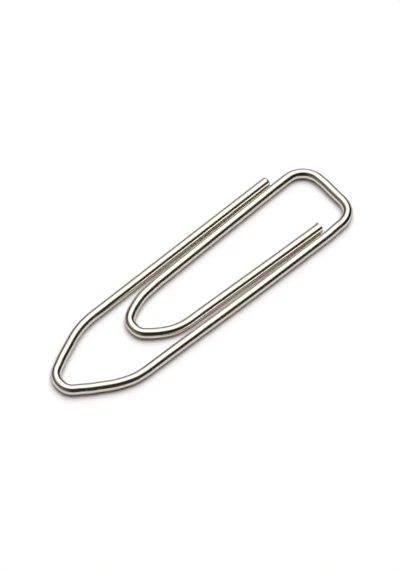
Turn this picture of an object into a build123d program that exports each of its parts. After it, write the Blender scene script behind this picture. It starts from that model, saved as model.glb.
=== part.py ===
from build123d import *
import math
import os

# Wire and overall sizes, in millimetres
wire_diameter = 0.95
overall_length = 32.00       # outside, from the nose tip to the head
overall_width = 8.85         # outside, from the outer leg to the end of the free leg
shoulder_width = 8.12        # outside, across the two shoulders

# Nose: two sloping flanks and a round tip with a short straight run in its middle
nose_tip_radius = 1.35
nose_tip_run = 0.20
nose_tip_offset = 0.235      # towards the free leg, from the middle of the shoulders
left_flank_angle = 27.5      # degrees to the length of the clip
right_flank_angle = 33.0
shoulder_radius = 7.20

# Head and cut ends
head_corner_radius = 2.00
free_end_setback = 4.22      # from the head's outside to the free leg's cut end
tail_end_setback = 3.93      # from the head's outside to the tongue tail's cut end
free_end_rounding = 0.21
tail_end_rounding = 0.03

# Tongue: it lies inside the outer loop with a narrow gap on each side
tongue_setback = 8.28        # from the nose tip's outside to the tongue tip's outside
free_gap_at_end = 0.07       # between the free leg and the tongue, at the free leg's end
free_gap_at_tip = 0.39       # the same, beside the tongue tip
tail_gap_at_end = 0.15       # between the tongue tail and the outer leg, at the tail's end
tail_gap_at_tip = 0.41       # the same, beside the tongue tip
tongue_tip_radius = 1.17
tongue_tip_run = 0.20
tongue_tip_offset = 0.26     # towards the free leg, from the middle of the tongue
tongue_shoulder_angle = 34.5
tail_shoulder_angle = 42.5

# The sprung half of the head bar, as a share of the bar's straight run
sprung_bar_share = 0.5

wire_radius = wire_diameter / 2
nose_x = -overall_length / 2 + wire_radius
head_x = overall_length / 2 - wire_radius
tip_x = nose_x + tongue_setback
outer_y = -overall_width / 2 + wire_radius
shoulder_y = outer_y + shoulder_width - wire_diameter
free_end = Vector(overall_length / 2 - free_end_setback, overall_width / 2 - wire_radius)
tail_end_x = overall_length / 2 - tail_end_setback
lengthwise = Vector(1, 0)
crosswise = Vector(0, 1)
right_angle = 90


def slope(angle):
    return math.tan(math.radians(angle))


def across(first, second):
    """Cross product of two directions in the plane of the clip."""
    return first.X * second.Y - first.Y * second.X


def crossing(start, direction, other_start, other_direction):
    """Where two lines in the plane of the clip cross."""
    along = across(other_start - start, other_direction) / across(direction, other_direction)
    return start + direction * along


def round_tip(tip, radius, run, upper_angle, lower_angle):
    """The two corners, before rounding, of a tip that points along -X between two flanks."""
    upper = tip + crosswise * (run / 2 + radius * slope((right_angle - upper_angle) / 2))
    lower = tip - crosswise * (run / 2 + radius * slope((right_angle - lower_angle) / 2))
    return upper, lower


# Corners of the outer loop
nose_tip = Vector(nose_x, (shoulder_y + outer_y) / 2 + nose_tip_offset)
nose_upper, nose_lower = round_tip(
    nose_tip, nose_tip_radius, nose_tip_run, left_flank_angle, right_flank_angle)
left_shoulder = Vector(nose_x + (shoulder_y - nose_upper.Y) / slope(left_flank_angle), shoulder_y)
right_shoulder = Vector(nose_x + (nose_lower.Y - outer_y) / slope(right_flank_angle), outer_y)
right_corner = Vector(head_x, outer_y)

# Lines of the tongue's two legs, set by their gaps to the outer loop
free_direction = (free_end - left_shoulder).normalized()
beside_tip = crossing(left_shoulder, free_direction, lengthwise * tip_x, crosswise)
tongue_at_end = free_end - crosswise * (wire_diameter + free_gap_at_end)
tongue_at_tip = beside_tip - crosswise * (wire_diameter + free_gap_at_tip)
tongue_direction = (tongue_at_tip - tongue_at_end).normalized()
tail_end = Vector(tail_end_x, outer_y + wire_diameter + tail_gap_at_end)
tail_at_tip = Vector(tip_x, outer_y + wire_diameter + tail_gap_at_tip)
tail_direction = (tail_end - tail_at_tip).normalized()

# Corners of the tongue
left_corner = crossing(tongue_at_end, tongue_direction, right_corner, crosswise)
tongue_tip = Vector(tip_x, (tongue_at_tip.Y + tail_at_tip.Y) / 2 + tongue_tip_offset)
tip_upper, tip_lower = round_tip(
    tongue_tip, tongue_tip_radius, tongue_tip_run, tongue_shoulder_angle, tail_shoulder_angle)
tongue_flank = lengthwise + crosswise * slope(tongue_shoulder_angle)
tail_flank = lengthwise - crosswise * slope(tail_shoulder_angle)
tongue_shoulder = crossing(tongue_at_end, tongue_direction, tip_upper, tongue_flank)
tail_shoulder = crossing(tail_end, tail_direction, tip_lower, tail_flank)


def turn_at(before, corner, after):
    """Signed turn of the wire at a corner, in degrees, positive to the left."""
    arriving = corner - before
    leaving = after - corner
    return math.degrees(math.atan2(across(arriving, leaving), arriving.dot(leaving)))


def widest_radius(before, corner, tip_corner, tip_radius, after):
    """Radius of a shoulder's arc that runs straight into the tip's arc, with no flank between."""
    tip_reach = tip_radius * slope(abs(turn_at(corner, tip_corner, after)) / 2)
    reach = (tip_corner - corner).length - tip_reach
    return reach / slope(abs(turn_at(before, corner, tip_corner)) / 2)


tongue_shoulder_radius = widest_radius(
    left_corner, tongue_shoulder, tip_upper, tongue_tip_radius, tip_lower)
tail_shoulder_radius = widest_radius(
    tail_end, tail_shoulder, tip_lower, tongue_tip_radius, tip_upper)

# The wire from cut end to cut end: each corner with its bend radius and the bend's name
corners = [
    (left_shoulder, shoulder_radius, "left_shoulder_bend"),
    (nose_upper, nose_tip_radius, "left_nose_bend"),
    (nose_lower, nose_tip_radius, "right_nose_bend"),
    (right_shoulder, shoulder_radius, "right_shoulder_bend"),
    (right_corner, head_corner_radius, "right_head_corner"),
    (left_corner, head_corner_radius, "left_head_corner"),
    (tongue_shoulder, tongue_shoulder_radius, "tongue_shoulder_bend"),
    (tip_upper, tongue_tip_radius, "tongue_tip_bend"),
    (tip_lower, tongue_tip_radius, "tail_tip_bend"),
    (tail_shoulder, tail_shoulder_radius, "tail_shoulder_bend"),
]
lift = Vector(0, 0, wire_radius)


def disc(centre, direction):
    return Plane(centre + lift, z_dir=direction) * Circle(wire_radius)


def straight(start, end):
    """A straight run of wire with flat round ends."""
    return extrude(disc(start, end - start), amount=(end - start).length)


def bend(before, corner, after, radius):
    """A bend's solid, and the two points on the centreline where it begins and ends."""
    arriving = (corner - before).normalized()
    turn = turn_at(before, corner, after)
    reach = radius * slope(abs(turn) / 2)
    begin = corner - arriving * reach
    end = corner + (after - corner).normalized() * reach
    side = math.copysign(1, turn)
    centre = begin + Vector(-arriving.Y, arriving.X) * (side * radius)
    axis = Axis(centre + lift, Vector(0, 0, side))
    return revolve(disc(begin, arriving), axis=axis, revolution_arc=abs(turn)), begin, end


def rounded_end(leg, end, rounding):
    """Takes the sharp rim off a leg's cut end."""
    rims = leg.edges().filter_by(GeomType.CIRCLE)
    return fillet(rims.sort_by_distance(end + lift)[0], radius=rounding)


points = [free_end] + [corner for corner, radius, name in corners] + [tail_end]
sections = {}
begins = {}
ends = {}
for index, (corner, radius, name) in enumerate(corners):
    solid, begin, end = bend(points[index], corner, points[index + 2], radius)
    sections[name] = solid
    begins[name] = begin
    ends[name] = end

# Straight runs between the bends
sections["free_leg"] = rounded_end(
    straight(free_end, begins["left_shoulder_bend"]), free_end, free_end_rounding)
sections["left_nose_flank"] = straight(ends["left_shoulder_bend"], begins["left_nose_bend"])
sections["right_nose_flank"] = straight(ends["right_nose_bend"], begins["right_shoulder_bend"])
sections["outer_leg"] = straight(ends["right_shoulder_bend"], begins["right_head_corner"])
sections["tongue_leg"] = straight(ends["left_head_corner"], begins["tongue_shoulder_bend"])
sections["tongue_tail"] = rounded_end(
    straight(ends["tail_shoulder_bend"], tail_end), tail_end, tail_end_rounding)

# The wire twists about three short straight runs: the nose tip, the head bar and the tongue tip
bar_begin = ends["right_head_corner"]
bar_end = begins["left_head_corner"]
bar_split = bar_end + (bar_begin - bar_end) * sprung_bar_share
sections["outer_head_bar"] = straight(bar_begin, bar_split)
sections["sprung_head_bar"] = straight(bar_split, bar_end)
sections["left_nose_bend"] += straight(ends["left_nose_bend"], nose_tip)
sections["right_nose_bend"] += straight(nose_tip, begins["right_nose_bend"])
sections["tongue_tip_bend"] += straight(ends["tongue_tip_bend"], tongue_tip)
sections["tail_tip_bend"] += straight(tongue_tip, begins["tail_tip_bend"])

os.makedirs("parts", exist_ok=True)
for name, solid in sections.items():
    export_step(solid, f"parts/{name}.step")

wire_volume = sum(solid.volume for solid in sections.values())
wire_section = math.pi * wire_radius ** 2
print(f"{len(sections)} wire sections, {wire_volume / wire_section:.1f} mm of wire")
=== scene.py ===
import math

import bpy
import numpy as np
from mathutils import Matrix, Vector


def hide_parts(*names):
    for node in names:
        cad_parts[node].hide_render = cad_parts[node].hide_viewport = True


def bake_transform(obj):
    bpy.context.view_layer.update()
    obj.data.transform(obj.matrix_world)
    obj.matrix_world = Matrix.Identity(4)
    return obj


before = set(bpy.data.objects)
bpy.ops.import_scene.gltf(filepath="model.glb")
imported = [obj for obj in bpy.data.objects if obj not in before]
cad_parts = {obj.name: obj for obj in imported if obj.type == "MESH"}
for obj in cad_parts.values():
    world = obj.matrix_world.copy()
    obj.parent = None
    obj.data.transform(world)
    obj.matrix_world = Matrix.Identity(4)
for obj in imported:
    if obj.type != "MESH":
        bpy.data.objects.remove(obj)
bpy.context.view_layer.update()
scene = bpy.context.scene
mm = 0.001
quarterTurn = 90

# Sizes of the bent wire in millimetres and degrees, the same as in the solids
clip = {
    "wire": 0.95,
    "length": 32.00,
    "width": 8.85,
    "shoulderWidth": 8.12,
    "shoulderRadius": 7.20,
    "noseRadius": 1.35,
    "noseRun": 0.20,               # straight middle of the tip
    "noseOffset": 0.235,           # towards the free leg
    "leftFlank": 27.5,             # degrees to the clip's length
    "rightFlank": 33.0,
    "cornerRadius": 2.00,
    "freeEndSetback": 4.22,        # from the head's outside
    "tailEndSetback": 3.93,
    "tongueSetback": 8.28,         # from the nose tip's outside to the tongue tip's
    "freeGaps": (0.07, 0.39),      # beside the free leg's end, and beside the tongue's tip
    "tailGaps": (0.15, 0.41),      # beside the tail's end, and beside the tongue's tip
    "tongueRadius": 1.17,
    "tongueRun": 0.20,
    "tongueOffset": 0.26,
    "tongueFlank": 34.5,
    "tailFlank": 42.5,
}
wireRadius = clip["wire"] / 2


def crossing(a, b, c, d):
    # where the line through a and b meets the line through c and d
    across = np.array([b - a, c - d]).T
    return a + (b - a) * np.linalg.solve(across, c - a)[0]


def lineAlong(y):
    # two points of a line that runs along the clip
    return np.array([[0, y], [1, y]])


def lineAcross(x):
    # two points of a line that runs across the clip
    return np.array([[x, 0], [x, 1]])


def heading(angle):
    # step of length 1, (cos, sin) of the angle to the clip's length
    return np.array([math.cos(math.radians(angle)), math.sin(math.radians(angle))])


def tipCorners(tip, radius, run, upperAngle, lowerAngle):
    # the two corners of a blunt tip: half its run plus radius * tan(half the turn), up and down
    half = np.radians(quarterTurn - np.array([upperAngle, lowerAngle])) / 2
    reach = run / 2 + radius * np.tan(half)
    return tip + np.array([0, reach[0]]), tip - np.array([0, reach[1]])


def wireCorners():
    # corner points of the wire's middle line, from the free leg's cut end to the tail's cut end
    c = clip
    noseX = -c["length"] / 2 + wireRadius
    headX = -noseX
    tipX = noseX + c["tongueSetback"]
    outerY = -c["width"] / 2 + wireRadius
    shoulderY = outerY + c["shoulderWidth"] - c["wire"]
    freeEnd = np.array([c["length"] / 2 - c["freeEndSetback"], -outerY])
    noseTip = np.array([noseX, (shoulderY + outerY) / 2 + c["noseOffset"]])
    noseUpper, noseLower = tipCorners(
        noseTip, c["noseRadius"], c["noseRun"], c["leftFlank"], c["rightFlank"])
    leftShoulder = crossing(noseUpper, noseUpper + heading(c["leftFlank"]), *lineAlong(shoulderY))
    rightShoulder = crossing(noseLower, noseLower + heading(-c["rightFlank"]), *lineAlong(outerY))
    rightCorner = np.array([headX, outerY])

    # the tongue's two legs lie beside the outer loop, a wire and a gap away
    freeReach, tailReach = c["wire"] + np.array([c["freeGaps"], c["tailGaps"]])
    besideTip = crossing(leftShoulder, freeEnd, *lineAcross(tipX))
    tongueAtEnd = freeEnd - [0, freeReach[0]]
    tongueAtTip = besideTip - [0, freeReach[1]]
    tailEnd = np.array([c["length"] / 2 - c["tailEndSetback"], outerY + tailReach[0]])
    tailAtTip = np.array([tipX, outerY + tailReach[1]])
    leftCorner = crossing(tongueAtEnd, tongueAtTip, *lineAcross(headX))
    tongueTip = np.array([tipX, (tongueAtTip[1] + tailAtTip[1]) / 2 + c["tongueOffset"]])
    tipUpper, tipLower = tipCorners(
        tongueTip, c["tongueRadius"], c["tongueRun"], c["tongueFlank"], c["tailFlank"])
    tongueShoulder = crossing(
        tongueAtEnd, tongueAtTip, tipUpper, tipUpper + heading(c["tongueFlank"]))
    tailShoulder = crossing(tailEnd, tailAtTip, tipLower, tipLower + heading(-c["tailFlank"]))
    return np.array([
        freeEnd, leftShoulder, noseUpper, noseLower, rightShoulder, rightCorner,
        leftCorner, tongueShoulder, tipUpper, tipLower, tailShoulder, tailEnd])


def bendRadii(tangents, lengths):
    # the tongue's two shoulders, the first and last of its four bends, take the largest arcs that
    # run straight into its tip: (run to the tip's corner - the tip's own reach) / tan(half the turn)
    c = clip
    shoulderTangent, upperTangent, lowerTangent, tailTangent = tangents[-4:]
    intoTip, outOfTip = lengths[[-4, -2]]
    tongueShoulder = (intoTip - c["tongueRadius"] * upperTangent) / shoulderTangent
    tailShoulder = (outOfTip - c["tongueRadius"] * lowerTangent) / tailTangent
    return np.array([
        c["shoulderRadius"], c["noseRadius"], c["noseRadius"], c["shoulderRadius"],
        c["cornerRadius"], c["cornerRadius"],
        tongueShoulder, c["tongueRadius"], c["tongueRadius"], tailShoulder])


def chord(length, curve, angle):
    # a stretch of the wire ends a chord away: length * sin(h) / h, halfway in heading, h half its turn
    halfTurn = length * curve / 2
    return (length * np.sinc(halfTurn / np.pi))[:, None] * np.stack(
        [np.cos(angle + halfTurn), np.sin(angle + halfTurn)], axis=1)


# The wire as it is fed and bent: straight, bend, straight, bend ... straight
corners = wireCorners()
legs = np.diff(corners, axis=0)
legLengths = np.linalg.norm(legs, axis=1)
legAngles = np.unwrap(np.arctan2(legs[:, 1], legs[:, 0]))
turns = np.diff(legAngles)
tangents = np.tan(np.abs(turns) / 2)
radii = bendRadii(tangents, legLengths)
reaches = np.concatenate([[0], radii * tangents, [0]])
feeds = np.zeros(2 * len(radii) + 1)
curvature = np.zeros_like(feeds)
feeds[0::2] = legLengths - reaches[:-1] - reaches[1:]
feeds[1::2] = radii * np.abs(turns)
curvature[1::2] = np.sign(turns) / radii
feedEnds = np.cumsum(feeds)
feedStarts = feedEnds - feeds
headings = legAngles[0] + np.concatenate([[0], np.cumsum(curvature * feeds)[:-1]])
feedPoints = corners[0] + np.concatenate(
    [np.zeros((1, 2)), np.cumsum(chord(feeds, curvature, headings), axis=0)[:-1]])
print("wire", round(feedEnds[-1], 2), "mm long in", len(feeds), "feeds")


# Bent wire springs back unevenly. Each wander has its middle and its reach along the wire, in
# millimetres, and how far it takes the wire to its left
wanders = {
    "leftFlank": (25.8, 1.1, -0.062),
    "rightFlank": (31.4, 0.8, -0.045),
    "rightShoulder": (35.3, 0.8, -0.036),
    "outerLeg": (49.0, 7.2, -0.080),
    "rightCorner": (59.2, 1.0, 0.105),
    "cornerTop": (61.0, 0.6, -0.040),
    "headBar": (64.4, 0.8, -0.045),
    "leftCorner": (67.0, 1.6, 0.085),
    "tongueShoulder": (85.7, 0.7, 0.046),
    "tongueTip": (88.6, 1.0, -0.062),
    "tailShoulder": (93.9, 1.4, -0.076),
    "tail": (104.5, 5.0, -0.024),
}


def wander(distance):
    # sum of bells, amount * exp(-((distance - middle) / reach) squared), and its slope
    middle, reach, amount = np.array(list(wanders.values())).T
    away = (distance[:, None] - middle) / reach
    bells = amount * np.exp(-away ** 2)
    return bells.sum(axis=1), (bells * -2 * away / reach).sum(axis=1)


def leftOf(direction):
    # steps of length 1 to the left of each heading, (-sin, cos)
    return np.stack([-np.sin(direction), np.cos(direction)], axis=1)


def alongWire(distance):
    # middle line and heading at distances along the wire, in one go
    part = np.clip(np.searchsorted(feedStarts, distance, side="right") - 1, 0, len(feeds) - 1)
    local = distance - feedStarts[part]
    point = feedPoints[part] + chord(local, curvature[part], headings[part])
    direction = headings[part] + curvature[part] * local
    aside, slope = wander(distance)
    return point + aside[:, None] * leftOf(direction), direction + np.arctan(slope)


wireForm = {
    "around": 64,             # points round the wire
    "bendStep": 0.09,         # ring spacing in bends, in millimetres as all lengths here
    "straightStep": 0.30,
    "shortestFeed": 1e-6,     # anything shorter is no feed at all
    "easing": 0.22,           # length over which a bend's flattening comes and goes
    "flattening": 0.22,       # of the wire's inner side, times (wire radius / bend radius) squared
    "flatFocus": 3,           # higher keeps the flattening closer to the innermost line
    "faceRings": 9,           # over an end's flat face
    "rimRings": 7,            # over the rounding of a cut end
    "nearCut": (0.025, 0.05, 0.08, 0.11, 0.15, 0.20, 0.27),   # extra rings behind a cut end's rim
    "ringMargin": 0.02,       # no other ring comes closer to those than this
}


def bendAmount(distance):
    # wire radius / bend radius with its sign, eased by tanh steps where each bend begins and ends
    steps = np.tanh((distance[:, None] - feedStarts[1::2]) / wireForm["easing"])
    steps -= np.tanh((distance[:, None] - feedEnds[1::2]) / wireForm["easing"])
    return steps @ curvature[1::2] / 2 * wireRadius


def ringPlaces(first, last):
    # ring distances through the feeds first..last, finer in the bends
    places = [feedStarts[first:first + 1]]
    for index in range(first, last + 1):
        step = wireForm["straightStep"] if index % 2 == 0 else wireForm["bendStep"]
        count = max(int(math.ceil(feeds[index] / step)), 1)
        if feeds[index] > wireForm["shortestFeed"]:
            places.append(np.linspace(feedStarts[index], feedEnds[index], count + 1)[1:])
    return np.concatenate(places)


def endProfile(cut):
    # rings of one end from its middle outwards: depth inside the end plane, share of the radius,
    # bareness. An end inside the wire has no cut: it is flat and plated
    rounding = cut.get("rounding", 0)
    flat = 1 - rounding / wireRadius
    share = np.linspace(0, 1, wireForm["faceRings"])[1:] * flat
    depth = np.zeros_like(share)
    bare = np.full_like(share, bool(cut))
    if rounding:
        turn = np.linspace(0, np.pi / 2, wireForm["rimRings"])[1:]
        share = np.concatenate([share, flat + (1 - flat) * np.sin(turn)])
        depth = np.concatenate([depth, rounding * (1 - np.cos(turn))])
        bare = np.concatenate([bare, np.clip(1 - 2 * np.sin(turn), 0, 1)])
    return depth, share, bare


def ringLayout(first, last, startCut, endCut):
    # every ring from one end's middle to the other's: place along the wire, share of the radius,
    # bareness, and which rings are rims that stay sharp
    body = ringPlaces(first, last)
    startDepth, startShare, startBare = endProfile(startCut)
    endDepth, endShare, endBare = endProfile(endCut)
    nearCut = np.array(wireForm["nearCut"])
    afterStart = body[0] + startDepth[-1] + (nearCut if startCut else nearCut[:0])
    beforeEnd = body[-1] - endDepth[-1] - (nearCut[::-1] if endCut else nearCut[:0])
    low = np.max(afterStart, initial=body[0]) + wireForm["ringMargin"]
    high = np.min(beforeEnd, initial=body[-1]) - wireForm["ringMargin"]
    inside = np.concatenate([afterStart, body[(body > low) & (body < high)], beforeEnd])
    place = np.concatenate([body[0] + startDepth, inside, body[-1] - endDepth[::-1]])
    share = np.concatenate([startShare, np.ones(len(inside)), endShare[::-1]])
    bare = np.concatenate([startBare, np.zeros(len(inside)), endBare[::-1]])
    sharpRings = [] if startCut else [len(startShare) - 1]
    sharpRings += [] if endCut else [len(place) - len(endShare)]
    return place, share, bare, sharpRings


def sectionRadius(share, bend, angle):
    # share of the wire radius, less flattening * bend squared * inner, which is 1 on the innermost line
    inner = (0.5 + 0.5 * np.cos(angle) * np.sign(bend)[:, None]) ** wireForm["flatFocus"]
    return wireRadius * share[:, None] * (1 - wireForm["flattening"] * bend[:, None] ** 2 * inner)


def cutMarks(cut, fromEnd, share, radius, angle):
    # how far the face is torn back, depth * (height towards the torn side - start), and how far the rim
    # swells into a burr, height * exp(sharpness * (lean - 1)), both fading as a bell behind the end
    if not cut:
        return np.zeros((2, *radius.shape))
    near = np.exp(-(fromEnd / cut["reach"]) ** 2)[:, None]
    lean = np.cos(angle - cut["tornSide"])
    torn = np.clip((radius / wireRadius) * lean - cut["tearStart"], 0, 1)
    tear = near * (share[:, None] < 1) * cut["tearDepth"] * torn
    burr = near * np.exp((lean - 1) * cut["burrSharpness"]) * cut["burrHeight"] * share[:, None]
    return tear, burr


def tubeFaces(rings, around):
    # quads from ring to ring, and a fan round each end's middle point, which follow the rings' points
    index = np.arange(rings * around).reshape(rings, around)
    after = np.roll(index, -1, axis=1)
    quads = np.stack([index[:-1], index[1:], after[1:], after[:-1]], axis=-1).reshape(-1, 4)
    startFan = np.stack([np.full(around, rings * around), index[0], after[0]], axis=1)
    endFan = np.stack([np.full(around, rings * around + 1), after[-1], index[-1]], axis=1)
    return index, quads.tolist() + startFan.tolist() + endFan.tolist()


def addLayer(mesh, name, kind, values, domain="POINT"):
    # a whole array as a new attribute of the mesh
    layer = mesh.attributes.new(name, kind, domain)
    layer.data.foreach_set("vector" if kind == "FLOAT_VECTOR" else "value", values.ravel())


def tubeMesh(name, points, rings, around, sharpRings):
    # smooth all over, except for the edges round the sharp rings
    index, faces = tubeFaces(rings, around)
    mesh = bpy.data.meshes.new(name)
    mesh.from_pydata(points * mm, [], faces)
    mesh.polygons.foreach_set("use_smooth", np.ones(len(mesh.polygons), bool))
    edgeEnds = np.zeros(len(mesh.edges) * 2, int)
    mesh.edges.foreach_get("vertices", edgeEnds)
    sharp = np.isin(edgeEnds.reshape(-1, 2), index[sharpRings]).all(axis=1)
    addLayer(mesh, "sharp_edge", "BOOLEAN", sharp, "EDGE")
    return mesh


def sweptWire(name, first, last, startCut, endCut):
    # ring point = middle line + radius * (cos a * left + sin a * up), with the ends closed to a middle
    place, share, bare, sharpRings = ringLayout(first, last, startCut, endCut)
    around = wireForm["around"]
    angle = np.arange(around) / around * 2 * np.pi
    point, direction = alongWire(place)
    along = np.stack([np.cos(direction), np.sin(direction)], axis=1)
    bend = bendAmount(place)
    radius = sectionRadius(share, bend, angle)
    startTear, startBurr = cutMarks(startCut, place - place[0], share, radius, angle)
    endTear, endBurr = cutMarks(endCut, place[-1] - place, share, radius, angle)
    push = startTear - endTear
    radius = radius + startBurr + endBurr
    side = radius * np.cos(angle)
    up = radius * np.sin(angle)
    level = side[..., None] * leftOf(direction)[:, None, :] + push[..., None] * along[:, None, :]
    grid = np.concatenate([point[:, None, :] + level, (up + wireRadius)[..., None]], axis=2)
    points = np.concatenate([grid.reshape(-1, 3), grid[[0, -1]].mean(axis=1)])
    mesh = tubeMesh(name, points, len(place), around, sharpRings)

    # for the plating: where each point was before bending, how bare it is and how much it is bent
    drawn = np.stack([np.broadcast_to(place[:, None], side.shape), side, up], axis=2)
    drawn = np.concatenate([drawn.reshape(-1, 3), [[place[0], 0, 0], [place[-1], 0, 0]]])
    addLayer(mesh, "drawn", "FLOAT_VECTOR", drawn)
    addLayer(mesh, "cut", "FLOAT", np.append(np.repeat(bare, around), bare[[0, -1]]))
    addLayer(mesh, "bend", "FLOAT", np.append(np.repeat(np.abs(bend), around), [0, 0]))
    mesh.update()
    piece = bpy.data.objects.new(name, mesh)
    scene.collection.objects.link(piece)
    print(name, len(mesh.vertices), "points", len(mesh.polygons), "faces")
    return piece


class Signal:
    # a shader socket that takes part in sums; numbers and other signals mix freely
    def __init__(self, tree, socket=None):
        self.tree = tree
        self.socket = socket

    def node(self, kind, settings, sockets, output=0):
        made = self.tree.nodes.new(kind)
        for name, value in settings.items():
            setattr(made, name, value)
        for name, value in sockets.items():
            if isinstance(value, Signal):
                self.tree.links.new(value.socket, made.inputs[name])
            else:
                made.inputs[name].default_value = value
        return Signal(self.tree, made.outputs[output])

    def math(self, operation, *values):
        return self.node("ShaderNodeMath", {"operation": operation}, dict(enumerate(values)))

    def __add__(self, other):
        return self.math("ADD", self, other)

    def __sub__(self, other):
        return self.math("SUBTRACT", self, other)

    def __rsub__(self, other):
        return self.math("SUBTRACT", other, self)

    def __mul__(self, other):
        return self.math("MULTIPLY", self, other)

    def __truediv__(self, other):
        return self.math("DIVIDE", self, other)

    def __rtruediv__(self, other):
        return self.math("DIVIDE", other, self)

    __radd__ = __add__
    __rmul__ = __mul__

    def between(self, low, high):
        # 0 below low, 1 above high, smooth in between
        return self.node("ShaderNodeMapRange", {"interpolation_type": "SMOOTHSTEP"},
                         {"Value": self, "From Min": low, "From Max": high})

    def mixed(self, first, second):
        # colour first where this is 0, second where it is 1; a Mix node's colours are sockets 6 and 7
        return self.node("ShaderNodeMix", {"data_type": "RGBA"}, {0: self, 6: first, 7: second}, 2)

    def noise(self, place, stretch, detail, roughness):
        spread = self.node("ShaderNodeVectorMath", {"operation": "MULTIPLY"}, {0: place, 1: stretch})
        return self.node("ShaderNodeTexNoise", {}, {
            "Vector": spread, "Scale": 1.0, "Detail": detail, "Roughness": roughness})

    def feed(self, node, name):
        self.tree.links.new(self.socket, node.inputs[name])


plating = {
    "bright": (0.63, 0.60, 0.54, 1),
    "dull": (0.57, 0.54, 0.48, 1),
    "bareSteel": (0.50, 0.485, 0.455, 1),
    "edgeTint": (0.60, 0.60, 0.60, 1),   # keeps the rims from going white at a glancing view
    "roughness": 0.21,
    "bareRoughness": 0.42,
    "bareEdge": (0.35, 0.70),         # of the cut attribute, where the plate gives way to bare steel
    "workedEdge": (0.08, 0.40),       # of the bend attribute, where the forming tool has rubbed the plate
    "drawLines": (0.22, 17, 17),      # per millimetre: along the wire, and both ways across it
    "drawLineNoise": (3.0, 0.60),     # detail and its roughness
    "mottle": (0.9, 2.2, 2.2),
    "mottleNoise": (4.0, 0.55),
    "pits": (7, 9, 9),
    "pitNoise": (2.0, 0.50),
    "pitEdge": (0.70, 0.78),          # only the noise's few highest places are pits
    "noiseMiddle": 0.5,
    "dullEdge": (0.42, 0.72),         # of the mottle, for the colour
    "dullByMottle": 0.45,
    "dullByPits": 0.40,
    "hazeEdge": (0.40, 0.75),         # of the mottle, for the roughness
    "hazeByLines": 0.12,
    "hazeByMottle": 0.05,
    "hazeByPits": 0.10,
    "polishByBending": 0.05,
    "reliefOfLines": 0.50,
    "reliefOfMottle": 0.35,
    "reliefOfPits": 0.60,
    "reliefStrength": 0.5,
    "reliefHeight": 0.004,            # millimetres
}


def platedWire():
    # bright nickel, patterned along the wire as it was drawn, before it was bent
    p = plating
    material = bpy.data.materials.new("platedWire")
    material.use_nodes = True
    tree = material.node_tree
    shader = tree.nodes["Principled BSDF"]
    new = Signal(tree)
    place = new.node("ShaderNodeAttribute", {"attribute_name": "drawn"}, {}, "Vector")
    cut = new.node("ShaderNodeAttribute", {"attribute_name": "cut"}, {}, "Fac")
    bend = new.node("ShaderNodeAttribute", {"attribute_name": "bend"}, {}, "Fac")
    lines = new.noise(place, p["drawLines"], *p["drawLineNoise"])
    mottle = new.noise(place, p["mottle"], *p["mottleNoise"])
    pits = new.noise(place, p["pits"], *p["pitNoise"]).between(*p["pitEdge"])
    worked = bend.between(*p["workedEdge"])
    bareness = cut.between(*p["bareEdge"])

    # the plate is duller in blotches and pits, and the cut faces show the steel
    tone = mottle.between(*p["dullEdge"]) * p["dullByMottle"] + pits * p["dullByPits"]
    colour = bareness.mixed(tone.mixed(p["bright"], p["dull"]), p["bareSteel"])
    colour.feed(shader, "Base Color")

    # drawing lines, blotches and pits haze the plate, and bends are rubbed a little brighter
    haze = (lines - p["noiseMiddle"]) * p["hazeByLines"]
    haze = haze + mottle.between(*p["hazeEdge"]) * p["hazeByMottle"]
    haze = haze + pits * p["hazeByPits"] - worked * p["polishByBending"]
    rough = (p["roughness"] + haze) * (1 - bareness) + p["bareRoughness"] * bareness
    rough.feed(shader, "Roughness")

    relief = lines * p["reliefOfLines"] + mottle * p["reliefOfMottle"] - pits * p["reliefOfPits"]
    bump = new.node("ShaderNodeBump", {}, {
        "Strength": p["reliefStrength"], "Distance": p["reliefHeight"] * mm, "Height": relief}, "Normal")
    bump.feed(shader, "Normal")
    shader.inputs["Metallic"].default_value = 1
    shader.inputs["Specular Tint"].default_value = p["edgeTint"]
    print("plating", len(tree.nodes), "nodes")
    return material


# Each piece's stretch of the wire: first and last feed, even ones straight and odd ones bends, the
# nodes it stands for, the bodies it joins, and the y in millimetres where its twist begins and ends
freeSide = {
    "feeds": (0, 6),
    "nodes": ("free_leg", "left_shoulder_bend", "left_nose_flank", "left_nose_bend",
              "right_nose_bend", "right_nose_flank"),
    "bodies": ("free_leg", "outer_loop"),
    "twist": (0.75, -0.95),
}
outerLoop = {
    "feeds": (7, 12),
    "nodes": ("right_shoulder_bend", "outer_leg", "right_head_corner", "outer_head_bar",
              "sprung_head_bar", "left_head_corner", "tongue_leg"),
    "bodies": ("outer_loop", "tongue"),
    "twist": (-1.95, 1.0),
}
tongue = {
    "feeds": (13, 20),
    "nodes": ("tongue_shoulder_bend", "tongue_tip_bend", "tail_tip_bend", "tail_shoulder_bend",
              "tongue_tail"),
    "bodies": ("tongue", "tongue_tail"),
    "twist": (0.9, -1.0),
}
freeEndCut = {
    "rounding": 0.21,
    "tornSide": math.radians(250),    # where the shears let go, from the wire's left side over the top
    "reach": 0.08,                    # of the tear and the burr along the wire
    "tearStart": 0.1,                 # share of the radius
    "tearDepth": 0.05,
    "burrHeight": 0.0,                # this end is rounded over
    "burrSharpness": 40,
}
tailEndCut = {
    "rounding": 0.03,
    "tornSide": math.radians(26),
    "reach": 0.11,
    "tearStart": 0.2,
    "tearDepth": 0.08,
    "burrHeight": 0.075,
    "burrSharpness": 40,
}
noCut = {}                            # an end that meets the next piece


def addWire(name, stretch, startCut, endCut, material):
    # one piece of wire, standing in for the solids it replaces, which are hidden
    piece = sweptWire(name, *stretch["feeds"], startCut, endCut)
    piece.data.materials.append(material)
    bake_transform(piece)
    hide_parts(*stretch["nodes"])


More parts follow.
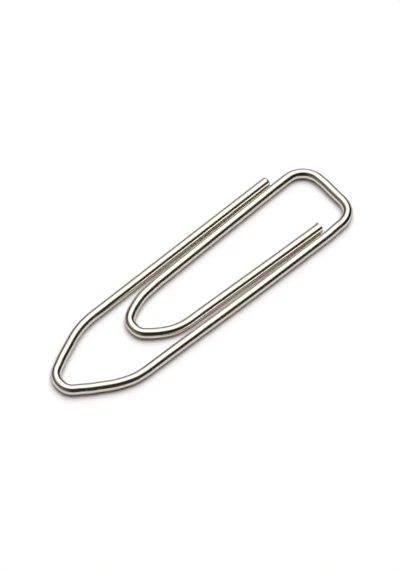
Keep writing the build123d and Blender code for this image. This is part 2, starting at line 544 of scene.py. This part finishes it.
plate = platedWire()
addWire("freeSideWire", freeSide, freeEndCut, noCut, plate)
addWire("outerLoopWire", outerLoop, noCut, noCut, plate)
addWire("tongueWire", tongue, noCut, tailEndCut, plate)


def skyDirection(fromTop, azimuth):
    # vector of length 1, from degrees away from straight up and degrees round from +X
    tilt = math.radians(fromTop)
    turn = math.radians(azimuth)
    return Vector((math.sin(tilt) * math.cos(turn), math.sin(tilt) * math.sin(turn), math.cos(tilt)))


paleFloor = {
    "reach": 3.0,                        # metres each way from the clip
    "colour": (0.95, 0.865, 0.866, 1),   # pinkish: the cool lamp makes it white outside the shadows
    "roughness": 0.9,
}


def addFloor():
    reach = paleFloor["reach"]
    mesh = bpy.data.meshes.new("floor")
    square = [(-reach, -reach, 0), (reach, -reach, 0), (reach, reach, 0), (-reach, reach, 0)]
    mesh.from_pydata(square, [], [(0, 1, 2, 3)])
    material = bpy.data.materials.new("paleFloor")
    material.use_nodes = True
    shader = material.node_tree.nodes["Principled BSDF"]
    shader.inputs["Base Color"].default_value = paleFloor["colour"]
    shader.inputs["Roughness"].default_value = paleFloor["roughness"]
    shader.inputs["Specular IOR Level"].default_value = 0   # matt
    mesh.materials.append(material)
    floor = bpy.data.objects.new("floor", mesh)
    scene.collection.objects.link(floor)
    return floor


studioSky = {
    "panelTurn": 48,                 # azimuth that the ceiling panel reaches towards, behind the clip
    "panelNear": (-0.135, -0.095),   # where each soft edge begins and ends, per unit of height overhead
    "panelFar": (0.2, 4.2),
    "panelLeft": (-1.38, -0.10),
    "panelRight": (0.61, 0.66),
    "panelLight": (1.94, 1.93, 1.89, 1),
    "lowestRise": 0.02,              # of a sight line, so that none meets the ceiling at infinity
    "glowTurn": 165,                 # a wall past the nose that the panel lights a little
    "glowEdge": (0.40, 0.80),        # cosine of the angle away from it
    "glowLight": (0.18, 0.172, 0.161, 1),
    "dimLight": (0.030, 0.025, 0.021, 1),
    "glintGain": 1.1,                # for light that goes from one leg to the next and then to the eye
    "glintBounces": (1.2, 1.8),      # between one mirror bounce and two
    "backdrop": (1.0, 1.0, 1.0, 1),  # what the camera itself sees past the floor
}


def addSky():
    s = studioSky
    world = bpy.data.worlds.new("studioSky")
    world.use_nodes = True
    scene.world = world
    tree = world.node_tree
    background = tree.nodes["Background"]
    new = Signal(tree)
    direction = new.node("ShaderNodeTexCoord", {}, {}, "Generated")

    def toward(aim):
        return new.node("ShaderNodeVectorMath", {"operation": "DOT_PRODUCT"},
                        {0: direction, 1: aim}, "Value")

    def towardLevel(azimuth):
        return toward(skyDirection(quarterTurn, azimuth))

    # a panel on a flat ceiling: each sight line meets it at (its level part) / (its rise)
    rise = new.math("MAXIMUM", toward((0, 0, 1)), s["lowestRise"])
    depth = towardLevel(s["panelTurn"]) / rise
    side = towardLevel(s["panelTurn"] - quarterTurn) / rise
    panel = depth.between(*s["panelNear"]) * (1 - depth.between(*s["panelFar"]))
    panel = panel * side.between(*s["panelLeft"]) * (1 - side.between(*s["panelRight"]))
    glow = towardLevel(s["glowTurn"]).between(*s["glowEdge"])
    light = panel.mixed(glow.mixed(s["dimLight"], s["glowLight"]), s["panelLight"])
    mirrored = new.node("ShaderNodeLightPath", {}, {}, "Glossy Depth")
    strength = 1 + mirrored.between(*s["glintBounces"]) * s["glintGain"]
    strength.feed(background, "Strength")
    seen = new.node("ShaderNodeLightPath", {}, {}, "Is Camera Ray")
    seen.mixed(light, s["backdrop"]).feed(background, "Color")


floorLamp = {
    "aim": (20, 25),                 # degrees from straight up, and azimuth
    "spread": 55,
    "power": 1.93,
    "colour": (0.855, 0.984, 1.004),
}


def addFloorLamp(floor):
    # a broad sun for the floor alone, so that the wire mirrors only the sky
    lamp = bpy.data.lights.new("floorLamp", "SUN")
    lamp.energy = floorLamp["power"]
    lamp.color = floorLamp["colour"]
    lamp.angle = math.radians(floorLamp["spread"])
    holder = bpy.data.objects.new("floorLamp", lamp)
    scene.collection.objects.link(holder)
    holder.rotation_mode = "QUATERNION"
    holder.rotation_quaternion = skyDirection(*floorLamp["aim"]).to_track_quat("Z", "Y")
    onlyFloor = bpy.data.collections.new("litByFloorLamp")
    onlyFloor.objects.link(floor)
    holder.light_linking.receiver_collection = onlyFloor


addSky()
addFloorLamp(addFloor())
print("floor, sky and floor lamp set")

cameraView = {
    "elevation": 59.68,
    "azimuth": -40.46,                   # of the picture's right-hand side
    "distance": 162.15,                  # millimetres
    "target": (0.118, -0.232, 0.025),
    "lens": 115.6,                       # for the sensor's width
    "sensor": 36,
    "clipStart": 0.01,                   # metres
}


def addCamera():
    v = cameraView
    back = skyDirection(quarterTurn - v["elevation"], v["azimuth"] - quarterTurn)
    lens = bpy.data.cameras.new("camera")
    lens.lens = v["lens"]
    lens.sensor_width = v["sensor"]
    lens.clip_start = v["clipStart"]
    holder = bpy.data.objects.new("camera", lens)
    holder.location = Vector(v["target"]) * mm + back * v["distance"] * mm
    holder.rotation_mode = "QUATERNION"
    holder.rotation_quaternion = (-back).to_track_quat("-Z", "Y")
    scene.collection.objects.link(holder)
    scene.camera = holder


addCamera()
scene.view_settings.view_transform = "Standard"
print("camera set")
